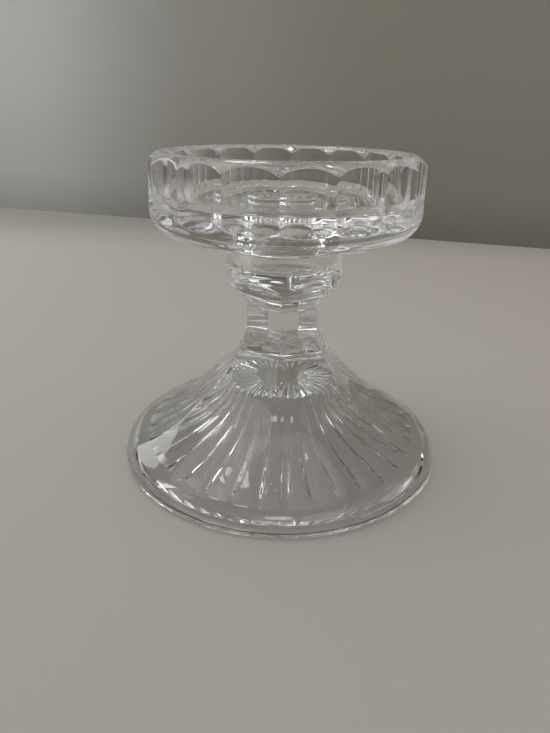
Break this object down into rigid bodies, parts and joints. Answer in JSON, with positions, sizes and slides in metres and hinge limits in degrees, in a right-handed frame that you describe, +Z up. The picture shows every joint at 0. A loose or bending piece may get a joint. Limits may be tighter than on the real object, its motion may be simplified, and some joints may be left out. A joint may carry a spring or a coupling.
{
  "type": "pedestal candle holder",
  "caption": "Clear pressed-crystal candle pedestal: fluted dish for a pillar candle, taper socket in its floor, hexagonal stem and flared foot.",
  "frame": {"origin": "centre of the ring that the foot rests on, on the surface it stands on", "axes": "+Z up along the stem, -Y towards a corner of the hexagonal stem and a cusp of the dish, +X to the right seen from there"},
  "size_m": [0.109, 0.109, 0.1012],
  "materials": {
    "crystal": "clear colourless crystal, fire-polished, no tint"
  },
  "bodies": {
    "root": {"foot": "crystal", "stem": "crystal", "socket_collar": "crystal", "candle_dish": "crystal"}
  },
  "joints": []
}
